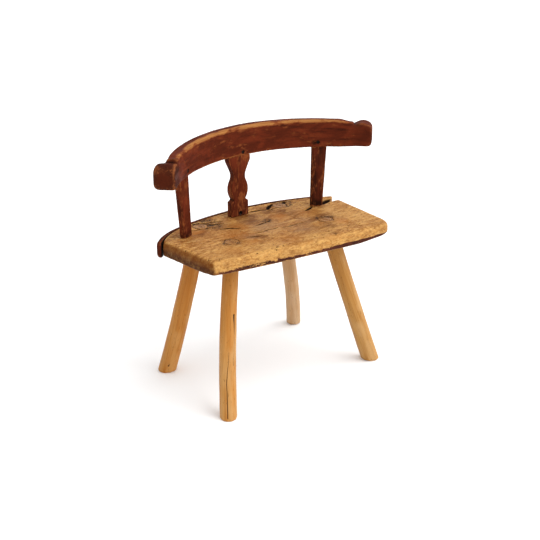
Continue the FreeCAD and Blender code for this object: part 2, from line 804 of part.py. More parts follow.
def export(pieces):
    """Checks every object, then writes one STEP file per piece."""
    failed = [o.Name for o in doc.Objects if {"Invalid", "Error"} & set(o.State)]
    if failed:
        raise RuntimeError(f"failed objects: {failed}")
    for piece in pieces:
        if piece.Shape.isNull() or not piece.Shape.isValid():
            raise RuntimeError(f"{piece.Label} has no valid shape")
    os.makedirs("parts", exist_ok=True)
    for piece in pieces:
        piece.Shape.exportStep(f"parts/{piece.Label}.step")
        box = piece.Shape.BoundBox
        print(
            f"{piece.Label:18} solids {len(piece.Shape.Solids)}  {piece.Shape.Volume / 1000:8.1f} cm3  "
            f"x {box.XMin:.0f}..{box.XMax:.0f}  y {box.YMin:.0f}..{box.YMax:.0f}  z {box.ZMin:.0f}..{box.ZMax:.0f}"
        )


fill_sheet()
finished = assemble()
doc.recompute()
export(finished)
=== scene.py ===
import itertools
import json
import math
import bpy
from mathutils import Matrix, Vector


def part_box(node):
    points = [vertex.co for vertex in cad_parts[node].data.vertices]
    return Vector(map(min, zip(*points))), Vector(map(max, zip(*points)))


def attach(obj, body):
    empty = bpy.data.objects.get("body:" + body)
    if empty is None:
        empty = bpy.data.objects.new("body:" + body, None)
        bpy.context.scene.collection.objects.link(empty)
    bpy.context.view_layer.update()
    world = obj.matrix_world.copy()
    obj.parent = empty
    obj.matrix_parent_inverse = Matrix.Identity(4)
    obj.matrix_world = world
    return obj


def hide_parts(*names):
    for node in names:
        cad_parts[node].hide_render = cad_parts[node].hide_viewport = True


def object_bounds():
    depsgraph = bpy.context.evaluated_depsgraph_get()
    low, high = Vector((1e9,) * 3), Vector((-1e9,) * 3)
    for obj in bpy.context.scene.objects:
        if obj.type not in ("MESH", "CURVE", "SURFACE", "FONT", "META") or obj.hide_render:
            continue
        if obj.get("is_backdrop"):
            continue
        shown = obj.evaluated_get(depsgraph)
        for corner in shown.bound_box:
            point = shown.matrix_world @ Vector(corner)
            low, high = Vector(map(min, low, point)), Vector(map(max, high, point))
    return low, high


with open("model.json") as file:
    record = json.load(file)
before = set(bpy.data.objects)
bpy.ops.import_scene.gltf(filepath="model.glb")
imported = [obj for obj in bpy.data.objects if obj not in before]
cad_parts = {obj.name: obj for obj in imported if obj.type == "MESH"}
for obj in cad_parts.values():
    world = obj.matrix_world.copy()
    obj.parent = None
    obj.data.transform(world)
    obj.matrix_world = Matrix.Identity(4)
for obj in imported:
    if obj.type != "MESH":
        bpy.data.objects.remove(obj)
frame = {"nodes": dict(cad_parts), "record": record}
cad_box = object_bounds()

from types import SimpleNamespace

import bmesh
import bpy
import numpy as np
from mathutils import Vector

# The looks of a low-backed wooden milking stool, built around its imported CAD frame.
# Metres, +X along the seat, +Y from its front edge to its bowed back, +Z up, as in the frame.
# Every piece is a fine copy of its CAD node: cut into even faces, worn, carved and stained in
# numpy, and finished with a procedural material that reads masks stored on its vertices.

MM = 0.001

# -------- places taken from the frame
SEAT_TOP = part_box("seat")[1].z
SEAT_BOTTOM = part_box("seat")[0].z
RAIL_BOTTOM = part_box("crest_rail")[0].z
RAIL_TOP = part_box("crest_rail")[1].z
CROWN_X = 0.040
CROWN_RADIUS = 4.4
FEET = {
    mount["name"].removeprefix("foot_"): Vector(mount["pos_m"]) for mount in frame["record"]["mounts"]
}

# The rail is an arc in plan, about a point in front of the seat.
RAIL_CENTRE = Vector((0, -0.264, 0))
RAIL_INNER = 0.353
EAR_ANGLE = math.radians(46)

# The bowed back edge of the seat, which the strip follows.
BOW_CENTRE = Vector((0.005, -0.473, 0))
BOW_RADIUS = 0.606

# The round tenons of the legs, and where each leg's axis meets the seat top.
TENON_RADIUS = 0.017
TENONS = {
    "front_left": Vector((-0.136, -0.043, SEAT_TOP)),
    "front_right": Vector((0.135, -0.059, SEAT_TOP)),
    "back_left": Vector((-0.132, 0.087, SEAT_TOP)),
    "back_right": Vector((0.115, 0.094, SEAT_TOP)),
}


# -------- numbers over many points
def smooth_step(x, low, high):
    """0 below low, 1 above high, and a smooth rise between."""
    t = np.clip((x - low) / (high - low), 0, 1)
    return t * t * (3 - 2 * t)


def bump(x, centre, half_width):
    """1 at the centre, falling smoothly to 0 at half a width either side."""
    return 1 - smooth_step(np.abs(x - centre), 0, half_width)


def noise(points, size, seed):
    """Smooth noise from -1 to 1 with features of that size, which may differ per axis."""
    cells = 32
    lattice = np.random.default_rng(seed).uniform(-1, 1, (cells, cells, cells))
    scaled = points / np.asarray(size)
    cell = np.floor(scaled).astype(int)
    part = scaled - cell
    part = part * part * (3 - 2 * part)
    total = np.zeros(len(points))
    for corner in itertools.product((0, 1), repeat=3):
        weight = np.prod(np.where(corner, part, 1 - part), axis=1)
        i, j, k = ((cell + corner) % cells).T
        total += weight * lattice[i, j, k]
    return total


def fractal(points, size, seed, octaves=3):
    """Noise summed over octaves, each half as large and half as strong as the one before."""
    size = np.asarray(size, float)
    total = sum(noise(points, size / 2**n, seed + n) / 2**n for n in range(octaves))
    return total / (2 - 2 ** (1 - octaves))


def path_distance(points, path):
    """Distance from plane points to a path, and how far along the path the nearest place is, 0 to 1."""
    path = np.asarray(path, float)
    lengths = np.linalg.norm(np.diff(path, axis=0), axis=1)
    starts = np.concatenate([[0], np.cumsum(lengths)])
    best = np.full(len(points), np.inf)
    along = np.zeros(len(points))
    for start, finish, before, length in zip(path[:-1], path[1:], starts, lengths):
        way = (finish - start) / length
        reach = np.clip((points - start) @ way, 0, length)
        distance = np.linalg.norm(points - start - reach[:, None] * way, axis=1)
        nearer = distance < best
        best[nearer] = distance[nearer]
        along[nearer] = ((before + reach) / starts[-1])[nearer]
    return best, along


# -------- fine copies of the CAD nodes
class Piece:
    """A fine, editable copy of one CAD node."""

    def __init__(self, node, voxel, smoothing=2):
        """Cuts a copy of the node into faces of about the voxel's size and eases its corners."""
        self.node = node
        rough = bpy.data.objects.new("rough", frame["nodes"][node].data.copy())
        bpy.context.scene.collection.objects.link(rough)
        remesh = rough.modifiers.new("even_faces", "REMESH")
        remesh.mode = "VOXEL"
        remesh.voxel_size = voxel
        ease = rough.modifiers.new("ease", "SMOOTH")
        ease.factor = 0.5
        ease.iterations = smoothing
        self.mesh = self.evaluated(rough, node)
        bpy.data.objects.remove(rough)
        self.read()
        self.masks = {}

    @staticmethod
    def evaluated(thing, name):
        """The mesh of an object with its modifiers applied."""
        bpy.context.view_layer.update()
        graph = bpy.context.evaluated_depsgraph_get()
        mesh = bpy.data.meshes.new_from_object(thing.evaluated_get(graph))
        mesh.name = name
        mesh.materials.clear()
        return mesh

    def read(self):
        """Takes the places of the vertices from the mesh."""
        self.points = np.empty(len(self.mesh.vertices) * 3)
        self.mesh.vertices.foreach_get("co", self.points)
        self.points = self.points.reshape(-1, 3)

    def write(self):
        """Puts the places of the vertices back."""
        self.mesh.vertices.foreach_set("co", self.points.ravel())
        self.mesh.update()

    def normals(self):
        """The vertex normals of the mesh as it is now."""
        self.write()
        found = np.empty(len(self.points) * 3, np.float32)
        self.mesh.vertices.foreach_get("normal", found)
        return found.reshape(-1, 3).astype(float)

    def refine(self, near):
        """Cuts the faces smaller where near(points) is true."""
        self.write()
        wanted = near(self.points)
        mesh = bmesh.new()
        mesh.from_mesh(self.mesh)
        edges = [e for e in mesh.edges if wanted[e.verts[0].index] and wanted[e.verts[1].index]]
        bmesh.ops.subdivide_edges(mesh, edges=edges, cuts=1, use_grid_fill=True)
        bmesh.ops.triangulate(mesh, faces=[f for f in mesh.faces if len(f.verts) > 4])
        mesh.to_mesh(self.mesh)
        mesh.free()
        self.read()

    def push(self, distance):
        """Moves each vertex along its normal."""
        self.points += self.normals() * np.asarray(distance)[:, None]

    def averager(self):
        """A function that gives each vertex the mean place of its neighbours."""
        edges = np.empty(len(self.mesh.edges) * 2, np.int64)
        self.mesh.edges.foreach_get("vertices", edges)
        a, b = edges.reshape(-1, 2).T
        size = len(self.points)
        count = np.maximum(np.bincount(a, minlength=size) + np.bincount(b, minlength=size), 1)

        def average(places):
            axes = (np.bincount(a, places[b, i], size) + np.bincount(b, places[a, i], size) for i in range(3))
            return np.stack(list(axes), axis=1) / count[:, None]

        return average

    def soften(self, weight, rounds):
        """Rounds the shape where the weight, from 0 to 1, is high."""
        average = self.averager()
        for _ in range(rounds):
            self.points += 0.5 * np.asarray(weight)[:, None] * (average(self.points) - self.points)

    def curvature(self, rounds=3):
        """How far each vertex stands out from its neighbours, in metres, spread over some rounds."""
        average = self.averager()
        smoothed = self.points
        for _ in range(rounds):
            smoothed = average(smoothed)
        return np.einsum("ij,ij->i", self.points - smoothed, self.normals())

    def mask(self, name, values):
        """Keeps a number, or a vector, per vertex for the material to read."""
        self.masks[name] = np.asarray(values, float)

    def finish(self, name, slot, material):
        """Makes the shown object and ties it to its node and body; the slot is not used."""
        self.write()
        for key, values in self.masks.items():
            vector = values.ndim == 2
            attribute = self.mesh.attributes.new(key, "FLOAT_VECTOR" if vector else "FLOAT", "POINT")
            attribute.data.foreach_set("vector" if vector else "value", values.astype(np.float32).ravel())
        self.mesh.shade_smooth()
        self.mesh.materials.append(material)
        shown = bpy.data.objects.new(name, self.mesh)
        bpy.context.scene.collection.objects.link(shown)
        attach(shown, "root")
        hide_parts(self.node)
        return shown


# -------- materials, node by node
class Shader:
    """Builds one procedural material."""

    def __init__(self, name):
        self.material = bpy.data.materials.new(name)
        self.material.use_nodes = True
        self.tree = self.material.node_tree
        self.tree.nodes.clear()

    def node(self, kind, inputs, **settings):
        """Adds a node; an input that is a socket is linked, any other is set."""
        made = self.tree.nodes.new(kind)
        for key, setting in settings.items():
            setattr(made, key, setting)
        for key, given in inputs.items():
            if isinstance(given, bpy.types.NodeSocket):
                self.tree.links.new(given, made.inputs[key])
            else:
                made.inputs[key].default_value = given
        return made

    def mask(self, name):
        """A number kept on the vertices."""
        return self.node("ShaderNodeAttribute", {}, attribute_name=name).outputs["Fac"]

    def grain(self):
        """Each point's place in the wood: along the grain, across it and through it, in metres."""
        return self.node("ShaderNodeAttribute", {}, attribute_name="grain").outputs["Vector"]

    def stretched(self, where, size):
        """The place in units of a size that differs per axis, in metres."""
        inputs = {"Vector": where, "Scale": tuple(1 / s for s in size)}
        return self.node("ShaderNodeMapping", inputs, vector_type="POINT").outputs["Vector"]

    def noise(self, where, size, detail=3, roughness=0.5, distortion=0):
        """Noise with features of that size in metres, one number or one per axis."""
        sizes = (size,) * 3 if isinstance(size, (int, float)) else size
        inputs = {
            "Vector": self.stretched(where, sizes),
            "Scale": 1.0,
            "Detail": detail,
            "Roughness": roughness,
            "Distortion": distortion,
        }
        return self.node("ShaderNodeTexNoise", inputs, noise_dimensions="3D").outputs["Fac"]

    def spots(self, where, spacing, reach, share):
        """Small round spots, one in some cells of a loose net: 1 inside a spot, 0 between them."""
        inputs = {"Vector": self.stretched(where, (spacing,) * 3), "Scale": 1.0, "Randomness": 1.0}
        cells = self.node("ShaderNodeTexVoronoi", inputs, voronoi_dimensions="3D", feature="F1")
        chance = self.node("ShaderNodeSeparateColor", {"Color": cells.outputs["Color"]}).outputs["Red"]
        inside = self.step(cells.outputs["Distance"], reach, 0.6 * reach)
        return self.times(inside, self.step(chance, share, share - 0.05))

    def math(self, operation, a, b=0.0):
        """One step of arithmetic."""
        return self.node("ShaderNodeMath", {0: a, 1: b}, operation=operation).outputs["Value"]

    def plus(self, a, b):
        """Two amounts added."""
        return self.math("ADD", a, b)

    def times(self, a, b):
        """Two amounts multiplied."""
        return self.math("MULTIPLY", a, b)

    def step(self, amount, low, high, start=0.0, end=1.0):
        """A smooth rise from start to end as the amount goes from low to high."""
        inputs = {"Value": amount, "From Min": low, "From Max": high, "To Min": start, "To Max": end}
        return self.node("ShaderNodeMapRange", inputs, interpolation_type="SMOOTHSTEP").outputs["Result"]

    def mix(self, amount, a, b):
        """Two colours mixed."""
        made = self.node("ShaderNodeMix", {"Factor": amount}, data_type="RGBA")
        for socket, given in (("A_Color", a), ("B_Color", b)):
            target = next(s for s in made.inputs if s.identifier == socket)
            if isinstance(given, bpy.types.NodeSocket):
                self.tree.links.new(given, target)
            else:
                target.default_value = (*given, 1)
        return next(s for s in made.outputs if s.identifier == "Result_Color")

    def finish(self, colour, roughness, height, depth, specular=0.12):
        """Ends in a Principled shader with a bump of that depth in metres."""
        relief = {"Height": height, "Strength": 1.0, "Distance": depth}
        bumped = self.node("ShaderNodeBump", relief).outputs["Normal"]
        inputs = {
            "Base Color": colour,
            "Roughness": roughness,
            "Normal": bumped,
            "Specular IOR Level": specular,
        }
        shader = self.node("ShaderNodeBsdfPrincipled", inputs)
        output = self.tree.nodes.new("ShaderNodeOutputMaterial")
        self.tree.links.new(shader.outputs["BSDF"], output.inputs["Surface"])
        return self.material


def make_seat_material():
    """Worn blond board: honey wood, mottled brown, grey-pink in the middle, dark red low on the front."""
    s = Shader("worn_blond_seat")
    where = s.grain()
    ring_wobble = s.noise(where, (0.05, 0.008, 0.008), detail=2)
    phase = s.plus(s.mask("rings"), s.times(ring_wobble, 0.9))
    late = s.step(s.math("SINE", s.times(phase, 2 * math.pi)), 0.1, 1.0)
    fibres = s.noise(where, (0.05, 0.0016, 0.0016), detail=3, roughness=0.65)
    streaks = s.noise(where, (0.10, 0.010, 0.010), detail=4, roughness=0.65, distortion=0.6)
    patches = s.noise(where, (0.060, 0.032, 0.032), detail=5, roughness=0.68, distortion=0.8)
    mottle = s.noise(where, (0.022, 0.011, 0.011), detail=4, roughness=0.7, distortion=0.6)
    freckles = s.noise(where, (0.007, 0.0040, 0.0040), detail=3, roughness=0.75)
    winding = s.noise(where, (0.040, 0.0075, 0.0075), detail=3, roughness=0.6, distortion=1.2)
    veins = s.step(s.math("ABSOLUTE", s.math("SUBTRACT", winding, 0.5)), 0.014, 0.004)
    veins = s.times(veins, s.step(mottle, 0.47, 0.58))
    burl = s.noise(where, (0.017, 0.011, 0.011), detail=2, roughness=0.5, distortion=1.6)
    swirls = s.step(s.math("ABSOLUTE", s.math("SUBTRACT", burl, 0.5)), 0.075, 0.035)
    swirls = s.times(swirls, s.mask("burled"))

    honey, straw = (0.410, 0.172, 0.0355), (0.536, 0.279, 0.0760)
    tan, umber = (0.256, 0.0944, 0.0200), (0.115, 0.0345, 0.0060)
    colour = s.mix(s.step(streaks, 0.40, 0.58), honey, straw)
    colour = s.mix(s.step(patches, 0.47, 0.60, 0, 0.85), colour, tan)
    colour = s.mix(s.step(mottle, 0.53, 0.64, 0, 0.60), colour, tan)
    colour = s.mix(s.step(mottle, 0.45, 0.34, 0, 0.50), colour, (0.592, 0.344, 0.120))
    colour = s.mix(s.times(late, 0.35), colour, (0.216, 0.0760, 0.0176))
    colour = s.mix(s.step(freckles, 0.54, 0.62, 0, 0.85), colour, (0.144, 0.0496, 0.0112))
    colour = s.mix(s.step(freckles, 0.46, 0.36, 0, 0.50), colour, (0.608, 0.368, 0.144))
    colour = s.mix(s.step(fibres, 0.52, 0.70, 0, 0.60), colour, (0.152, 0.0560, 0.0144))

    worn = s.times(s.mask("worn"), s.step(mottle, 0.36, 0.60, 1.0, 0.45))
    colour = s.mix(s.times(worn, 0.56), colour, (0.560, 0.312, 0.0980))
    grey = s.times(s.mask("grey"), s.step(streaks, 0.3, 0.65, 0.35, 1.0))
    colour = s.mix(grey, colour, (0.216, 0.116, 0.0624))
    brown = s.times(s.mask("brown"), s.step(patches, 0.35, 0.58, 0.35, 1.0))
    colour = s.mix(brown, colour, umber)
    orange = s.times(s.mask("orange"), s.step(streaks, 0.38, 0.60, 0.2, 1.0))
    colour = s.mix(orange, colour, (0.335, 0.112, 0.0170))
    colour = s.mix(s.times(swirls, 0.9), colour, (0.030, 0.0115, 0.0045))
    colour = s.mix(s.times(veins, 0.65), colour, (0.0800, 0.0272, 0.0080))
    end_colour = s.mix(s.mask("sunk"), (0.150, 0.043, 0.0050), (0.046, 0.0098, 0.0013))
    end_grain = s.times(s.mask("end_grain"), s.step(mottle, 0.35, 0.62, 0.80, 1.0))
    colour = s.mix(end_grain, colour, end_colour)

    edge = s.noise(where, (0.022, 0.005, 0.005), detail=5, roughness=0.75)
    painted = s.plus(s.mask("paint"), s.times(s.math("SUBTRACT", edge, 0.5), 1.5))
    painted = s.step(painted, 0.46, 0.54)
    old_paint = s.mix(s.step(patches, 0.35, 0.65), (0.0320, 0.0080, 0.0048), (0.0840, 0.0216, 0.0104))
    colour = s.mix(painted, colour, old_paint)
    under = s.mix(s.step(streaks, 0.3, 0.7), (0.136, 0.0600, 0.0224), (0.216, 0.108, 0.0440))
    colour = s.mix(s.mask("under"), colour, under)
    holes = s.times(s.spots(where, 0.013, 0.14, 0.5), s.mask("wormed"))
    colour = s.mix(s.times(holes, 0.9), colour, (0.0240, 0.0104, 0.0048))
    # Near black as grime in the cracks, pits, knots and tenon gaps, and in the split at the back right as
    # painted shade.
    colour = s.mix(s.mask("dirt_and_shade"), colour, (0.0096, 0.0048, 0.0032))

    roughness = s.step(patches, 0.3, 0.7, 0.50, 0.68)
    height = s.plus(s.times(fibres, 0.5), s.times(late, -0.3))
    height = s.plus(height, s.times(mottle, -0.6))
    height = s.plus(height, s.times(s.plus(holes, swirls), -1.5))
    clean = s.math("SUBTRACT", 1.0, s.mask("dirt_and_shade"))
    return s.finish(colour, roughness, height, 0.0006, specular=s.times(clean, 0.06))


def make_paint_material():
    """Old dark red paint on wood, thin and dull, gone where the wear mask is high."""
    s = Shader("old_dark_red_paint")
    where = s.grain()
    fibres = s.noise(where, (0.05, 0.0018, 0.0018), detail=3, roughness=0.65)
    streaks = s.noise(where, (0.10, 0.010, 0.010), detail=3, roughness=0.6, distortion=0.5)
    patches = s.noise(where, (0.07, 0.03, 0.03), detail=4, roughness=0.6, distortion=0.8)
    chips = s.noise(where, (0.016, 0.0045, 0.0045), detail=5, roughness=0.74)

    # The paint's own reds, with green and blue raised a little as painted sheen, standing in for the
    # reflection that the low specular leaves out.
    brick, deep = (0.120, 0.0205, 0.0078), (0.0750, 0.0136, 0.0058)
    black_red = (0.0285, 0.0072, 0.0042)
    colour = s.mix(s.step(patches, 0.38, 0.62), brick, deep)
    colour = s.mix(s.step(streaks, 0.54, 0.74, 0, 0.75), colour, black_red)
    colour = s.mix(s.step(streaks, 0.44, 0.26, 0, 0.6), colour, (0.178, 0.0360, 0.0120))
    colour = s.mix(s.step(fibres, 0.54, 0.74, 0, 0.5), colour, black_red)
    colour = s.mix(s.mask("dark"), colour, (0.0176, 0.0052, 0.0028))

    broken = s.plus(s.mask("wear"), s.times(s.math("SUBTRACT", chips, 0.5), 1.1))
    thin = s.step(broken, 0.20, 0.48)
    bare = s.step(broken, 0.52, 0.66)
    colour = s.mix(thin, colour, (0.206, 0.0570, 0.0170))
    wood = s.mix(s.step(fibres, 0.35, 0.65), (0.385, 0.165, 0.0480), (0.235, 0.0880, 0.0250))
    colour = s.mix(s.times(bare, 0.9), colour, wood)
    colour = s.mix(s.mask("handled"), colour, (0.078, 0.034, 0.0170))
    # Near black as grime in the hollows and round the pegs and nail, and as painted shadow on the back
    # strip's face toward the seat.
    colour = s.mix(s.mask("dirt_and_shade"), colour, (0.0064, 0.0040, 0.0032))

    roughness = s.step(patches, 0.3, 0.7, 0.42, 0.58)
    height = s.plus(s.times(fibres, 0.6), s.times(bare, -0.5))
    height = s.plus(height, s.times(chips, 0.4))
    return s.finish(colour, roughness, height, 0.0004, specular=0.01)


def make_leg_material(name, light, deep, pale):
    """Smooth honey-yellow pole, deeper in colour towards the seat and with painted shade just under it, with
    soft streaks along the grain.
    """
    s = Shader(name)
    where = s.grain()
    fibres = s.noise(where, (0.08, 0.0013, 0.0013), detail=3, roughness=0.6)
    streaks = s.noise(where, (0.20, 0.008, 0.008), detail=3, roughness=0.55, distortion=0.3)
    patches = s.noise(where, (0.09, 0.03, 0.03), detail=3, roughness=0.55)
    specks = s.noise(where, (0.010, 0.0022, 0.0022), detail=2, roughness=0.6)

    colour = s.mix(s.step(streaks, 0.38, 0.62), light, deep)
    colour = s.mix(s.times(s.mask("upper"), 0.75), colour, deep)
    lower = s.math("SUBTRACT", patches, s.times(s.mask("upper"), 0.2))
    colour = s.mix(s.step(lower, 0.36, 0.62, 0, 0.7), colour, pale)
    colour = s.mix(s.step(fibres, 0.5, 0.75, 0, 0.50), colour, tuple(0.5 * c for c in deep))
    colour = s.mix(s.step(specks, 0.64, 0.74, 0, 0.8), colour, tuple(0.3 * c for c in deep))
    end = s.mix(s.step(patches, 0.4, 0.6), (0.350, 0.155, 0.0380), (0.235, 0.094, 0.0210))
    end = s.mix(s.step(specks, 0.45, 0.60, 0, 0.5), end, (0.13, 0.050, 0.014))
    rings = s.plus(s.mask("rings"), s.times(specks, 1.2))
    rings = s.step(s.math("SINE", s.times(rings, 2 * math.pi)), 0.35, 0.85)
    end = s.mix(s.times(rings, s.step(patches, 0.36, 0.50)), end, (0.050, 0.020, 0.007))
    colour = s.mix(s.mask("top"), colour, end)
    # Painted shade on the leg just under the seat.
    colour = s.mix(s.mask("shade"), colour, tuple(0.30 * c for c in deep))
    colour = s.mix(s.mask("dirt_and_shade"), colour, (0.0176, 0.0080, 0.0040))
    roughness = s.step(patches, 0.3, 0.7, 0.40, 0.54)
    height = s.plus(s.times(fibres, 0.6), s.times(streaks, 0.4))
    return s.finish(colour, roughness, height, 0.0003, specular=0.12)


def make_small_material(name, light, dark, roughness):
    """Wedges, pegs and nails: two tones in fine noise."""
    s = Shader(name)
    where = s.grain()
    mottle = s.noise(where, 0.002, detail=4, roughness=0.7)
    colour = s.mix(s.step(mottle, 0.35, 0.65), light, dark)
    return s.finish(colour, s.step(mottle, 0.3, 0.7, roughness, roughness + 0.2), mottle, 0.0003)


# -------- the seat
CRACKS = (
    # start on the seat, heading in degrees from the way to its right end, length, half width and depth
    ((20, 100), -10, 60, 1.4, 3.0),
    ((75, 90), 40, 40, 2.4, 4.0),
    ((100, 100), -10, 35, 1.2, 3.0),
    ((125, 100), 30, 20, 3.0, 5.0),
    ((65, 80), 5, 30, 0.8, 2.0),
    ((140, 25), 20, 35, 1.9, 5.0),
    ((205, 40), 15, 45, 3.6, 7.0),
    ((-105, 45), -30, 45, 1.3, 2.0),
    ((-90, -40), -20, 40, 0.8, 1.4),
    ((-55, -30), 0, 65, 0.7, 1.4),
    ((20, -40), 0, 70, 0.6, 1.2),
    ((-25, 10), 10, 40, 0.9, 1.4),
    ((-165, 75), -15, 45, 0.9, 1.6),
    ((-140, 110), -20, 75, 1.1, 2.0),
    ((-135, 90), -20, 60, 1.0, 2.0),
)
# How much wider than that a crack is cut.
CRACK_OPENING = 2.1
PIT_ZONES = (
    # middle of the zone, its reach each way, and how many pits are scattered in it
    ((-235, -115), (20, 15), 7),
    ((-140, -115), (60, 20), 7),
    ((20, -140), (110, 18), 12),
    ((170, -135), (50, 30), 8),
    ((-245, 0), (8, 40), 4),
)
KNOTS = (
    # place on the seat, size, and how dark the eye is
    ((20, 20), 11, 1.0),
    ((85, -150), 10, 0.6),
    ((150, -50), 8, 0.55),
    ((-105, 85), 9, 0.5),
)
# Stains: place on the seat and size.  Grey in the middle, brown about the right front tenon and along
# the back, orange between, pale towards the ends and the front edge.
GREY_STAINS = (((0, 0), 50), ((-20, 40), 30), ((50, -70), 35), ((90, -30), 25), ((-80, -40), 20))
BROWN_STAINS = (
    ((140, -40), 35), ((110, -90), 25), ((160, -30), 20), ((-60, -60), 20), ((60, 80), 25),
    ((0, 60), 45), ((100, 40), 40), ((-90, 60), 35), ((-150, 40), 20), ((-135, -50), 25),
    ((-40, -110), 15), ((90, -150), 10),
)
ORANGE_STAINS = (
    ((-110, -10), 35), ((-20, -110), 30), ((70, -170), 20), ((-160, 50), 25), ((130, 10), 25),
    ((-60, 30), 25), ((60, 20), 25), ((160, -90), 20), ((-170, -90), 20), ((-100, -70), 20),
)
PALE_PATCHES = (((-200, -90), 45), ((210, -70), 50), ((200, -10), 35), ((30, -150), 40), ((-90, -120), 35))
BURLS = (((-110, 90), 35), ((130, 100), 25), ((140, -55), 20), ((-140, -45), 20), ((20, 20), 12))


def crack_path(start, heading, length):
    """The straight run of a crack over the seat top, which is made crooked where it is cut."""
    turn = math.radians(heading)
    return np.array([start, (start[0] + length * math.cos(turn), start[1] + length * math.sin(turn))])


def scattered_pits():
    """The place and radius of each pit, scattered over the zones."""
    chance = np.random.default_rng(27)
    for middle, reach, count in PIT_ZONES:
        for _ in range(count):
            yield middle + chance.uniform(-1, 1, 2) * reach, chance.uniform(1.2, 2.1)


def seat_relief(points):
    """How far the worn seat top lies below its plane, from the place on the seat."""
    flat = points * (1, 1, 0)
    hollow = 1.4 * MM * np.exp(-((points[:, 0] / 0.19) ** 2) - ((points[:, 1] + 0.02) / 0.09) ** 2)
    waves = 0.40 * (1 + fractal(flat, (0.09, 0.04, 1), 11)) + 0.20 * fractal(flat, (0.02, 0.007, 1), 12)
    lumps = 0.5 * smooth_step(-points[:, 1], 0.08, 0.15) * fractal(flat, (0.016, 0.010, 1), 13)
    return hollow + (waves + lumps) * MM


def carve_seat_top(piece, top):
    """Cuts the cracks and pits into the seat top, and returns how dirty each place is."""
    flat = piece.points[:, :2] / MM
    jitter = np.stack([noise(piece.points, 0.007, seed) for seed in (21, 22)], axis=1) * 1.3
    dirt_and_shade = np.zeros(len(flat))
    depth = np.zeros(len(flat))
    wander = 2.6 * np.stack([noise(piece.points, 0.017, seed) for seed in (23, 24)], axis=1)
    for start, heading, length, half_width, deepest in CRACKS:
        distance, along = path_distance(flat + jitter + wander, crack_path(start, heading, length))
        width = CRACK_OPENING * half_width * (0.35 + 0.65 * np.sin(np.pi * np.clip(along, 0.04, 0.96)) ** 0.6)
        groove = np.clip(1 - distance / (1.6 * width), 0, 1)
        depth = np.maximum(depth, deepest * groove)
        dirt_and_shade = np.maximum(dirt_and_shade, smooth_step(groove, 0.08, 0.50))
    for place, radius in scattered_pits():
        distance = np.linalg.norm(flat + jitter - place, axis=1)
        hole = 1 - smooth_step(distance, 0.5 * radius, 1.35 * radius)
        depth = np.maximum(depth, 1.4 * hole)
        dirt_and_shade = np.maximum(dirt_and_shade, 0.85 * smooth_step(hole, 0.2, 0.8))
    for place, size, darkness in KNOTS:
        offset = (flat + jitter - place) / (size, 0.45 * size)
        eye = np.linalg.norm(offset, axis=1)
        dirt_and_shade = np.maximum(dirt_and_shade, darkness * (1 - smooth_step(eye, 0.2, 0.95)) * 0.85)
        depth = np.maximum(depth, 0.7 * darkness * (1 - smooth_step(eye, 0.3, 1.0)))
    ragged = 0.8 * noise(piece.points, 0.004, 25)
    for centre in TENONS.values():
        offset = flat - np.array(centre.xy) / MM
        around = np.arctan2(offset[:, 1], offset[:, 0])
        gap = np.abs(np.linalg.norm(offset, axis=1) - TENON_RADIUS / MM - 0.9 + ragged)
        turn = np.stack([3 * np.cos(around), 3 * np.sin(around), around * 0 + 9 * centre.x], axis=1)
        open_part = smooth_step(noise(turn, 1.0, 26), -0.05, 0.45)
        dirt_and_shade = np.maximum(dirt_and_shade, 0.85 * open_part * (1 - smooth_step(gap, 0.6, 1.9)))
    piece.points[:, 2] -= top * depth * MM
    return dirt_and_shade * top


def blobs(points, stains, seed):
    """Soft stains about their places, broken up by noise, from 0 to 1."""
    flat = points[:, :2] / MM
    ragged = flat + 14 * np.stack([fractal(points, 0.035, seed + n) for n in (0, 5)], axis=1)
    total = np.zeros(len(flat))
    for place, size in stains:
        total = np.maximum(total, np.exp(-(np.linalg.norm(ragged - place, axis=1) / size) ** 2))
    return total


def refine_seat(piece):
    """Cuts the faces smaller about the cracks and pits."""
    paths = [crack_path(start, heading, length) for start, heading, length, _, _ in CRACKS]

    def close_to_detail(points):
        flat = points[:, :2] / MM
        close = np.zeros(len(points), bool)
        for path in paths:
            close |= path_distance(flat, path)[0] < 6.5
        for place, radius in scattered_pits():
            close |= np.linalg.norm(flat - place, axis=1) < radius + 2.5
        return close & (points[:, 2] > SEAT_TOP - 0.006)

    piece.refine(close_to_detail)


def seat_zones(piece):
    """How far each place belongs to the plank's top, its underside, its sides and its back part."""
    points = piece.points
    return SimpleNamespace(
        top=smooth_step(points[:, 2], SEAT_TOP - 0.010, SEAT_TOP - 0.001),
        under=1 - smooth_step(points[:, 2], SEAT_BOTTOM + 0.0005, SEAT_BOTTOM + 0.003),
        side=1 - np.abs(piece.normals()[:, 2]),
        behind=smooth_step(points[:, 1], 0.02, 0.05),
    )


def shape_seat(piece, zones):
    """Wears the plank's edges, sinks its top, lifts its low right corner and furrows its underside."""
    points = piece.points
    outside = smooth_step(np.abs(points[:, 0]) + np.abs(points[:, 1] + 0.02) * 1.6, 0.24, 0.30)
    wobble = 1.5 * fractal(points, (0.06, 0.06, 0.03), 31) + 0.5 * fractal(points, (0.012, 0.012, 0.008), 35)
    left_corner = 1 - smooth_step(np.hypot(points[:, 0] + 0.25, points[:, 1] + 0.127), 0.016, 0.040)
    piece.soften(left_corner, 40)
    piece.push(zones.side * outside * (wobble - 0.2) * MM * (1 - 0.9 * zones.behind))
    piece.points[:, 2] -= zones.top * seat_relief(piece.points)
    points = piece.points
    at_corner = smooth_step(points[:, 0], 0.13, 0.25) * smooth_step(-points[:, 1], 0.03, 0.16)
    rim = smooth_step(np.hypot(points[:, 0] - 0.205, points[:, 1] + 0.136), 0.010, 0.044)
    lowest = 1 - smooth_step(points[:, 2], SEAT_BOTTOM, SEAT_BOTTOM + 0.030)
    piece.points[:, 2] += 8.5 * MM * at_corner * rim * lowest
    furrow = np.abs(np.sin(np.pi * (points[:, 1] + 0.004 * noise(points, 0.08, 41)) / 0.024))
    piece.points[:, 2] += zones.under * 0.5 * MM * (furrow - 1)


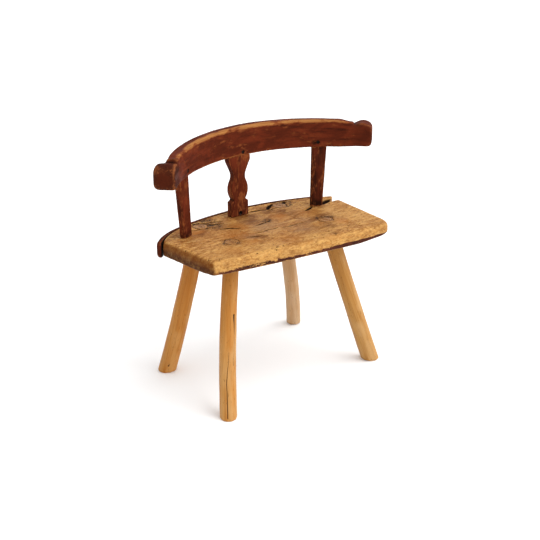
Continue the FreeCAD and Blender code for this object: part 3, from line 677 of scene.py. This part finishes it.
def seat_rings(points):
    """Which growth ring each place of the plank is in, with the rings bent about the knots."""
    pith = np.stack([0.25 * points[:, 0], points[:, 1] - 0.02, points[:, 2] - SEAT_TOP + 0.07], axis=1)
    ring_radius = np.linalg.norm(pith[:, 1:], axis=1) + 0.006 * noise(points, (0.15, 0.05, 0.05), 51)
    for place, size, _ in KNOTS:
        offset = (points[:, :2] / MM - place) / (2.6 * size, 1.2 * size)
        ring_radius += 0.010 * np.exp(-np.einsum("ij,ij->i", offset, offset))
    return ring_radius / 0.0042


def stain_seat(piece, top):
    """Keeps the masks of the stains, burls and worm holes in the seat's top."""
    points = piece.points
    piece.mask("grey", 0.75 * top * blobs(points, GREY_STAINS, 61))
    piece.mask("brown", 0.80 * top * blobs(points, BROWN_STAINS, 71))
    piece.mask("orange", 0.75 * top * blobs(points, ORANGE_STAINS, 73))
    piece.mask("burled", top * smooth_step(blobs(points, BURLS, 67), 0.15, 0.50))
    piece.mask("wormed", top * smooth_step(fractal(points, (0.07, 0.05, 0.05), 75), -0.35, 0.25))


def finish_seat_edges(piece, zones, dirt_and_shade):
    """Keeps the masks of the worn front, the ends, the old paint, the underside, and the grime, with painted
    shade in the split at the back right.
    """
    points = piece.points
    normals = piece.normals()
    front = smooth_step(-normals[:, 1], 0.15, 0.7)
    front *= smooth_step(points[:, 2], SEAT_BOTTOM, SEAT_BOTTOM + 0.015)
    worn = 0.8 * front + 0.3 * zones.top * smooth_step(-points[:, 1], 0.07, 0.15)
    piece.mask("worn", np.clip(worn + 0.8 * zones.top * blobs(points, PALE_PATCHES, 65), 0, 1))
    left_end = smooth_step(-normals[:, 0], 0.25, 0.75)
    right_end = smooth_step(normals[:, 0], 0.35, 0.9)
    piece.mask("end_grain", 0.95 * left_end + 0.35 * right_end * (1 - left_end))
    uneven = points[:, 2] + 0.004 * fractal(points, (0.03, 0.02, 1), 69)
    piece.mask("sunk", 1 - smooth_step(uneven, SEAT_TOP - 0.024, SEAT_TOP - 0.006))
    wavy = points[:, 2] + 0.0035 * fractal(points, (0.05, 0.05, 1), 77)
    low = 1 - smooth_step(wavy, SEAT_BOTTOM + 0.0070, SEAT_BOTTOM + 0.0170)
    whole = 0.62 + 0.45 * smooth_step(points[:, 0], 0.02, 0.12)
    painted = (1 - zones.under) * smooth_step(zones.side, 0.2, 0.5) * (1 - zones.behind) * (1 - left_end)
    piece.mask("paint", whole * low * painted)
    piece.mask("under", zones.under * smooth_step(-normals[:, 2], 0.3, 0.8))
    # Near black as grime in the cracks and pits, and on the walls of the split at the back right as painted
    # shade.
    split = smooth_step(points[:, 0], 0.228, 0.236) * bump(points[:, 1], 0.052, 0.013)
    piece.mask("dirt_and_shade", np.maximum(dirt_and_shade, split * smooth_step(zones.side, 0.2, 0.6)))


def make_seat(material):
    """The plank: worn top, wavy edges, cracks and knots, painted low on its front and right end."""
    piece = Piece("seat", 0.0020)
    refine_seat(piece)
    zones = seat_zones(piece)
    shape_seat(piece, zones)
    dirt_and_shade = carve_seat_top(piece, zones.top)
    piece.mask("grain", piece.points)
    piece.mask("rings", seat_rings(piece.points))
    stain_seat(piece, zones.top)
    finish_seat_edges(piece, zones, dirt_and_shade)
    return piece.finish("seat_plank", "seat_wood", material)


# -------- painted pieces
def arc_place(points, centre):
    """Angle from straight back and radius of each point about an upright axis."""
    x, y = points[:, 0] - centre.x, points[:, 1] - centre.y
    return np.arctan2(x, y), np.hypot(x, y)


def grime(piece, seed):
    """Dirt in the hollows of a piece, from its shape and some noise."""
    hollow = np.clip(-piece.curvature(4) / (0.25 * MM), 0, 1)
    return np.clip(hollow * (0.7 + 0.5 * fractal(piece.points, 0.02, seed)), 0, 1)


def arris_wear(piece, seed, strength=1.0):
    """Wear on the arrises of a piece, from its shape and some noise."""
    proud = np.clip(piece.curvature(4) / (0.30 * MM), 0, 1)
    return strength * proud * (0.55 + 0.45 * fractal(piece.points, 0.05, seed))


def mottled_wear(points, seed):
    """Light wear in patches over the faces of a piece."""
    return 0.17 + 0.32 * fractal(points, (0.012, 0.012, 0.020), seed)


def make_back_strip(material):
    """The strip on the bowed back edge: hewn, painted, worn along its top, with painted shadow on its face
    toward the seat.
    """
    piece = Piece("seat_back_strip", 0.0013)
    points = piece.points
    angle, radius = arc_place(points, BOW_CENTRE)
    proud = smooth_step(radius, BOW_RADIUS + 0.003, BOW_RADIUS + 0.012)
    piece.push(proud * (0.8 * fractal(points, (0.05, 0.05, 0.02), 81) - 0.5) * MM)
    piece.soften(0.25 + 0.75 * smooth_step(-points[:, 0], 0.235, 0.262), 40)
    points = piece.points
    piece.mask("grain", np.stack([angle * BOW_RADIUS, radius, points[:, 2]], axis=1))
    piece.mask("wear", arris_wear(piece, 83, 0.6))
    piece.mask("dark", 0.35 + 0.35 * fractal(points, 0.05, 84))
    normals = piece.normals()
    facing_seat = -(normals[:, 0] * np.sin(angle) + normals[:, 1] * np.cos(angle))
    # The faces toward the seat are drawn near black: painted shadow in the gap between strip and seat, over
    # the grime in the hollows.
    piece.mask("dirt_and_shade", np.maximum(grime(piece, 85), smooth_step(facing_seat, 0.3, 0.8)))
    return piece.finish("seat_back_strip_painted", "dark_red_paint", material)


# Pegs: turn from straight back, and height above the rail's lowest edge.
PEGS = ((math.radians(-35), 0.012), (math.radians(-0.2), 0.008), (math.radians(32.3), 0.0125))
# A dark stain by the right peg: way round the rail's face from straight back, and height.
PEG_STAIN = (0.190, 0.012)
# Wear along the rail's arrises: share of the way to the right ear, and strength.
TOP_WEAR = ((-1.05, 0.75), (-0.8, 0.88), (-0.4, 1.08), (0, 1.22), (0.35, 1.12), (0.7, 0.78), (1.0, 0.70))
LOWER_WEAR = ((-0.9, 0.3), (-0.4, 0.6), (0, 0.65), (0.4, 0.3), (1, 0.25))


def around_pegs(points, angle, radius, height):
    """Dirt round the mouth of each peg in the face of the rail."""
    dirt_and_shade = np.zeros(len(points))
    for turn, rise in PEGS:
        distance = np.hypot((angle - turn) * RAIL_INNER, height - rise)
        dirt_and_shade = np.maximum(dirt_and_shade, 1 - smooth_step(distance, 0.0037, 0.0058))
    return dirt_and_shade * (1 - smooth_step(radius, RAIL_INNER + 0.004, RAIL_INNER + 0.008))


def shape_crest(piece):
    """Hews the rail, dips its top beside the ears and rounds the ears."""
    points = piece.points
    piece.push((0.9 * fractal(points, (0.07, 0.07, 0.035), 91) + 0.25 * fractal(points, 0.012, 95)) * MM)
    angle, _ = arc_place(piece.points, RAIL_CENTRE)
    share = angle / EAR_ANGLE
    high = smooth_step(piece.points[:, 2], RAIL_BOTTOM + 0.030, RAIL_BOTTOM + 0.055)
    dip = 4.5 * bump(share, 0.985, 0.10) + 1.5 * bump(share, -1.01, 0.08)
    dome = 6.0 * bump(share, 1.07, 0.10) + 7.0 * bump(share, -1.09, 0.11)
    piece.points[:, 2] += high * (dome - dip) * MM
    piece.soften(smooth_step(np.abs(share), 0.88, 0.98), 30)


def crest_wear(piece, angle, radius, on_ear):
    """Wear in a band along the top of the face, on the arrises and in light patches on the face."""
    points = piece.points
    share = angle / EAR_ANGLE
    below_crown = RAIL_TOP - (points[:, 0] - CROWN_X) ** 2 / (2 * CROWN_RADIUS) - points[:, 2]
    near_top = 1 - smooth_step(below_crown, 0.002, 0.0125)
    inner_half = 1 - smooth_step(radius, RAIL_INNER + 0.003, RAIL_INNER + 0.015)
    along = np.interp(share, *zip(*TOP_WEAR))
    patchy = 0.74 + 0.85 * fractal(points, (0.020, 0.020, 0.008), 97)
    wear = near_top * inner_half * along * patchy * (1 - 0.5 * on_ear)
    arris = bump(below_crown, 0.003, 0.0045) * bump(radius, RAIL_INNER + 0.001, 0.006) * (1 - on_ear)
    wear = np.maximum(wear, 0.85 * arris * patchy)
    lower_front = bump(points[:, 2] - RAIL_BOTTOM, 0.001, 0.005) * bump(radius, RAIL_INNER, 0.007)
    wear = np.maximum(wear, lower_front * np.interp(share, *zip(*LOWER_WEAR)))
    wear = np.maximum(wear, arris_wear(piece, 99, 0.45 + 0.30 * on_ear))
    normals = piece.normals()
    outward = normals[:, 0] * np.sin(angle) + normals[:, 1] * np.cos(angle)
    face = smooth_step(-outward, 0.5, 0.9) * (0.12 + 0.34 * fractal(points, (0.022, 0.022, 0.010), 101))
    return np.maximum(wear, face * (1 - 0.8 * on_ear))


def make_crest(material):
    """The bowed rail: hewn faces, arrises worn to the wood, dark ears with rubbed edges, the left ear darker
    still with painted shade.
    """
    piece = Piece("crest_rail", 0.0015)
    shape_crest(piece)
    points = piece.points
    angle, radius = arc_place(points, RAIL_CENTRE)
    share = angle / EAR_ANGLE
    on_ear = smooth_step(np.abs(share), 0.98, 1.06)
    height = points[:, 2] - RAIL_BOTTOM
    piece.mask("grain", np.stack([angle * RAIL_INNER, radius, points[:, 2]], axis=1))
    piece.mask("wear", crest_wear(piece, angle, radius, on_ear))
    # Darker paint on both ears, and painted shade making the left ear, which faces away from the light,
    # darker still.
    ear_paint_and_shade = np.interp(share, (-1, 1), (0.50, 0.15))
    dark = np.clip(ear_paint_and_shade * on_ear + 0.35 * fractal(points, 0.06, 103), 0, 1)
    piece.mask("handled", 0.25 * on_ear * smooth_step(piece.curvature(6), 0.05 * MM, 0.35 * MM))
    stain = np.hypot(angle * RAIL_INNER - PEG_STAIN[0], height - PEG_STAIN[1])
    piece.mask("dark", np.maximum(dark, 0.9 * (1 - smooth_step(stain, 0.002, 0.010))))
    piece.mask("dirt_and_shade", np.maximum(grime(piece, 105), around_pegs(points, angle, radius, height)))
    return piece.finish("crest_rail_painted", "dark_red_paint", material)


# Painted light and shade on the posts: how much darker each post's paint is drawn, or lighter where negative;
# the right post gets painted shade, the left painted light.
POST_PAINTED_SHADING = {"left": -0.22, "right": 0.32}


def make_post(side, material):
    """A flat stave with uneven arrises, a dark, ragged foot, and painted light on the left post, painted
    shade on the right.
    """
    node = f"post_{side}"
    piece = Piece(node, 0.0010)
    points = piece.points
    seed = 111 if side == "left" else 121
    piece.push((0.7 * fractal(points, (0.02, 0.02, 0.05), seed) + 0.1) * MM)
    piece.soften(np.ones(len(points)), 6)
    points = piece.points
    middle = (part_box(node)[0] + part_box(node)[1]) / 2
    piece.mask("grain", np.stack([points[:, 2], points[:, 0] - middle.x, points[:, 1] - middle.y], axis=1))
    above = points[:, 2] - SEAT_TOP
    piece.mask("wear", np.maximum(arris_wear(piece, seed + 3, 1.5), mottled_wear(points, seed + 9)))
    ragged = above + 0.006 * fractal(points, (0.010, 0.010, 0.020), seed + 2)
    foot = 1 - smooth_step(ragged, 0.004, 0.024)
    # Paint drawn lighter on the left post as painted light and darker on the right as painted shade, over a
    # patchy tone.
    shade = POST_PAINTED_SHADING[side] + 0.35 * fractal(points, (0.02, 0.02, 0.06), seed + 5)
    piece.mask("dark", np.clip(0.95 * foot + shade, 0, 1))
    piece.mask("dirt_and_shade", grime(piece, seed + 7))
    return piece.finish(f"{node}_painted", "dark_red_paint", material)


# Where the nail enters the foot of the splat.
NAIL_MOUTH = (-0.011, 0.0885, SEAT_TOP + 0.007)


def make_splat(material):
    """The vase-shaped board: sawn edges, softened arrises, a dark foot."""
    piece = Piece("splat", 0.0010)
    points = piece.points
    piece.push((0.6 * fractal(points, (0.02, 0.02, 0.04), 131) + 0.1) * MM)
    piece.soften(np.ones(len(points)), 5)
    points = piece.points
    piece.mask("grain", np.stack([points[:, 2], points[:, 0], points[:, 1]], axis=1))
    above = points[:, 2] - SEAT_TOP
    piece.mask("wear", np.maximum(arris_wear(piece, 133, 0.6), mottled_wear(points, 139) + 0.06))
    foot = 1 - smooth_step(above, 0.006, 0.050)
    piece.mask("dark", np.clip(0.35 * foot + 0.3 * fractal(points, (0.03, 0.03, 0.06), 135), 0, 1))
    nail = np.linalg.norm(points - NAIL_MOUTH, axis=1)
    piece.mask("dirt_and_shade", np.maximum(grime(piece, 137), 1 - smooth_step(nail, 0.0045, 0.0070)))
    return piece.finish("splat_painted", "dark_red_paint", material)


# -------- legs
LEG_CRACKS = {
    # each crack: its path as turns about the leg in degrees and heights up it, then half width and depth
    "front_left": (
        (((0, 0), (-5, 75), (5, 150)), 1.1, 3.5),
        (((55, 120), (50, 185)), 0.8, 1.5),
        (((45, 235), (55, 190)), 2.3, 3.0),
    ),
    "front_right": (),
    "back_left": ((((0, 20), (5, 25)), 1.7, 1.6),),
    "back_right": (),
}
# Each leg's wood: its name, and its light, deep and pale tones.
LEG_WOODS = {
    "front_left": ("honey_pole", (0.488, 0.232, 0.0608), (0.416, 0.164, 0.0288), (0.520, 0.288, 0.104)),
    "front_right": ("straw_pole", (0.445, 0.228, 0.062), (0.365, 0.160, 0.034), (0.495, 0.285, 0.112)),
    "back_left": ("amber_pole", (0.46, 0.195, 0.040), (0.40, 0.145, 0.022), (0.50, 0.25, 0.075)),
    "back_right": ("ashen_pole", (0.496, 0.300, 0.148), (0.432, 0.240, 0.104), (0.528, 0.352, 0.208)),
}
# The radius at which a leg is unrolled.
LEG_RADIUS = 0.0195


def leg_frame(name):
    """Along the leg, and two directions across it, the first facing the camera's side."""
    along = (TENONS[name] - FEET[name]).normalized()
    facing = Vector((-0.62, -0.78, 0))
    facing = (facing - along * facing.dot(along)).normalized()
    return along, facing, along.cross(facing)


def leg_chart(angle, height):
    """The surface of a leg unrolled flat, in millimetres round it and up it."""
    return np.stack([angle * LEG_RADIUS, height], axis=1) / MM


def unrolled(path):
    """The path of a crack on that chart."""
    return [(math.radians(turn) * LEG_RADIUS / MM, up) for turn, up in path]


def leg_place(points, name):
    """Height along the leg, angle and radius about its middle line, and the way out from it."""
    along, facing, across = (np.array(v) for v in leg_frame(name))
    local = points - np.array(FEET[name])
    height = local @ along
    lean = local - height[:, None] * along
    slices = np.round(height / 0.006).astype(int)
    slices -= slices.min()
    count = np.maximum(np.bincount(slices), 1)
    middle = np.stack([np.bincount(slices, lean[:, axis]) / count for axis in range(3)], axis=1)
    middle[:4], middle[-8:] = middle[4], middle[-9]
    kernel = np.hanning(9) / np.hanning(9).sum()
    padded = np.pad(middle, ((4, 4), (0, 0)), "edge")
    middle = np.stack([np.convolve(padded[:, axis], kernel, "valid") for axis in range(3)], axis=1)
    lean = lean - middle[slices]
    radius = np.linalg.norm(lean, axis=1)
    outward = lean / np.maximum(radius, 0.001)[:, None]
    return height, np.arctan2(lean @ across, lean @ facing), radius, outward


def refine_leg(piece, name):
    """Cuts the faces of a leg smaller about its cracks, if it has any."""

    def close_to_crack(points):
        height, angle, radius, _ = leg_place(points, name)
        close = np.zeros(len(points), bool)
        for path, _, _ in LEG_CRACKS[name]:
            close |= path_distance(leg_chart(angle, height), unrolled(path))[0] < 4
        return close & (radius > 0.012)

    if LEG_CRACKS[name]:
        piece.refine(close_to_crack)


def leg_rim(radius):
    """1 at the skin of a leg, 0 in the middle of its ends."""
    return smooth_step(radius, 0.010, 0.017)


def whittle_leg(piece, height, angle, radius, way_out, seed):
    """Cuts long facets below the seat and rounds the foot."""
    below_seat = 1 - smooth_step(piece.points[:, 2], SEAT_BOTTOM - 0.012, SEAT_BOTTOM - 0.004)
    chart = np.stack([np.cos(angle), np.sin(angle), height / 0.10], axis=1)
    facets = 9
    turn = angle + 0.35 * noise(chart * (0.4, 0.4, 1), 1.0, seed)
    facet = np.cos(np.pi / facets) / np.cos((turn % (2 * np.pi / facets)) - np.pi / facets)
    change = 0.5 * (facet - 0.965) * radius + 0.0007 * fractal(chart, (0.8, 0.8, 0.5), seed + 1) + 0.0002
    foot_round = 0.0045
    lift = np.clip(piece.points[:, 2] / foot_round, 0, 1)
    rounding = 0.8 * foot_round * (1 - np.sqrt(1 - (1 - lift) ** 2))
    piece.points += way_out * (leg_rim(radius) * (below_seat * change - rounding))[:, None]


def crack_leg(piece, name, height, angle, radius, seed):
    """Cuts the cracks of a leg, and returns how dirty each place is."""
    dirt_and_shade = np.zeros(len(piece.points))
    jitter = 0.5 * noise(piece.points, 0.012, seed)
    for path, half_width, deepest in LEG_CRACKS[name]:
        distance, share = path_distance(leg_chart(angle, height) + jitter[:, None] * (1, 0), unrolled(path))
        width = half_width * (0.4 + 0.6 * (1 - share))
        groove = np.clip(1 - distance / (1.5 * width), 0, 1) * leg_rim(radius)
        piece.push(-deepest * groove * MM)
        dirt_and_shade = np.maximum(dirt_and_shade, smooth_step(groove, 0.15, 0.7))
    return dirt_and_shade


def make_leg(name, material):
    """A pole whittled in long facets, with a rounded foot and a tenon that shows on the seat."""
    node = f"leg_{name}"
    piece = Piece(node, 0.0012)
    seed = 200 + 10 * list(TENONS).index(name)
    refine_leg(piece, name)
    height, angle, radius, way_out = leg_place(piece.points, name)
    whittle_leg(piece, height, angle, radius, way_out, seed)
    dirt_and_shade = crack_leg(piece, name, height, angle, radius, seed + 4)
    on_top = smooth_step(piece.points[:, 2], SEAT_TOP - 0.010, SEAT_TOP - 0.001)
    piece.points[:, 2] -= on_top * seat_relief(piece.points)
    piece.points[:, 2] = np.maximum(piece.points[:, 2], 0)
    piece.mask("grain", np.stack([height, radius * np.cos(angle), radius * np.sin(angle)], axis=1))
    piece.mask("rings", radius / 0.0062 + 0.5 * noise(piece.points, 0.014, seed + 6))
    piece.mask("top", smooth_step(piece.points[:, 2], SEAT_TOP - 0.003, SEAT_TOP - 0.001))
    near_seat = smooth_step(piece.points[:, 2], SEAT_BOTTOM - 0.035, SEAT_BOTTOM)
    in_seat = smooth_step(piece.points[:, 2], SEAT_BOTTOM - 0.001, SEAT_BOTTOM + 0.001)
    # Painted shade just under the seat.
    piece.mask("shade", np.clip(0.35 * near_seat * (1 - in_seat), 0, 1))
    piece.mask("upper", smooth_step(height, 0.06, 0.33))
    piece.mask("dirt_and_shade", dirt_and_shade)
    return piece.finish(f"{node}_pole", "leg_wood", material)


def make_small_pieces():
    """Wedges, pegs and nails: fine copies, with the wedges flush with the worn seat."""
    wedge = make_small_material("wedge_end_grain", (0.330, 0.140, 0.0440), (0.150, 0.058, 0.0180), 0.6)
    peg = make_small_material("dark_peg", (0.0140, 0.0064, 0.0044), (0.0048, 0.0032, 0.0024), 0.7)
    iron = make_small_material("rusty_iron", (0.0600, 0.0280, 0.0176), (0.0144, 0.0112, 0.0104), 0.55)
    for node, slot, material in (
        ("leg_wedges", "wedge_wood", wedge),
        ("crest_pegs", "peg_wood", peg),
        ("splat_nail", "nail_iron", iron),
        ("strip_nails", "nail_iron", iron),
    ):
        piece = Piece(node, 0.0005, smoothing=1)
        if node == "leg_wedges":
            on_top = smooth_step(piece.points[:, 2], SEAT_TOP - 0.006, SEAT_TOP - 0.001)
            piece.points[:, 2] -= on_top * seat_relief(piece.points)
        piece.push(0.12 * MM * fractal(piece.points, 0.003, 301))
        piece.mask("grain", piece.points)
        piece.finish(f"{node}_set", slot, material)


# -------- the room
def make_room():
    """A pale floor, a soft white sky brighter on the right, a large soft sun from the upper right and a
    weaker one from the front."""
    floor_reach = 30
    mesh = bpy.data.meshes.new("floor")
    corners = [(x * floor_reach, y * floor_reach, 0) for x, y in ((-1, -1), (1, -1), (1, 1), (-1, 1))]
    mesh.from_pydata(corners, [], [(0, 1, 2, 3)])
    floor = bpy.data.objects.new("floor", mesh)
    bpy.context.scene.collection.objects.link(floor)
    s = Shader("pale_floor")
    where = s.node("ShaderNodeNewGeometry", {}).outputs["Position"]
    soft = s.noise(where, 0.6, detail=2)
    colour = s.mix(soft, (0.93, 0.93, 0.93), (0.95, 0.95, 0.95))
    mesh.materials.append(s.finish(colour, 0.9, soft, 0.0001, specular=0.1))
    floor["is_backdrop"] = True

    world = bpy.data.worlds.new("studio")
    world.use_nodes = True
    tree = world.node_tree
    sky = tree.nodes["Background"]
    sky.inputs["Color"].default_value = (1, 1, 1, 1)
    way = tree.nodes.new("ShaderNodeTexCoord").outputs["Generated"]
    side = tree.nodes.new("ShaderNodeVectorMath")
    side.operation = "DOT_PRODUCT"
    side.inputs[1].default_value = (0.85, -0.45, 0.25)
    strength = tree.nodes.new("ShaderNodeMapRange")
    for key, bound in (("From Min", -1.0), ("From Max", 1.0), ("To Min", 0.60), ("To Max", 1.50)):
        strength.inputs[key].default_value = bound
    tree.links.new(way, side.inputs[0])
    tree.links.new(side.outputs["Value"], strength.inputs["Value"])
    tree.links.new(strength.outputs["Result"], sky.inputs["Strength"])
    bpy.context.scene.world = world
    for name, direction, energy, spread in (
        ("key", (-0.50, 0.45, -0.90), 1.35, 50),
        ("fill", (-0.2, 0.9, -0.35), 0.45, 60),
    ):
        light = bpy.data.lights.new(name, "SUN")
        light.energy = energy
        light.angle = math.radians(spread)
        lamp = bpy.data.objects.new(name, light)
        lamp.rotation_euler = Vector(direction).to_track_quat("-Z", "Y").to_euler()
        bpy.context.scene.collection.objects.link(lamp)


def make_camera():
    """A camera in front of the stool's left corner, looking down at it."""
    data = bpy.data.cameras.new("camera")
    data.sensor_width = 36
    data.lens = 66.667
    camera = bpy.data.objects.new("camera", data)
    yaw, pitch = 0.672976, 0.381538
    forward = Vector((math.sin(yaw) * math.cos(pitch), math.cos(yaw) * math.cos(pitch), -math.sin(pitch)))
    camera.location = (-1.3988, -1.7676, 1.1615)
    camera.rotation_euler = forward.to_track_quat("-Z", "Y").to_euler()
    bpy.context.scene.collection.objects.link(camera)
    bpy.context.scene.camera = camera


make_camera()
make_room()
bpy.context.scene.view_settings.view_transform = "Standard"
make_seat(make_seat_material())
red_paint = make_paint_material()
make_back_strip(red_paint)
make_crest(red_paint)
for side in ("left", "right"):
    make_post(side, red_paint)
make_splat(red_paint)
for name, (wood, light, deep, pale) in LEG_WOODS.items():
    make_leg(name, make_leg_material(wood, light, deep, pale))
make_small_pieces()

boxes = {"cad": cad_box, "visual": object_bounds()}
{key: [list(map(float, corner)) for corner in box] for key, box in boxes.items()}
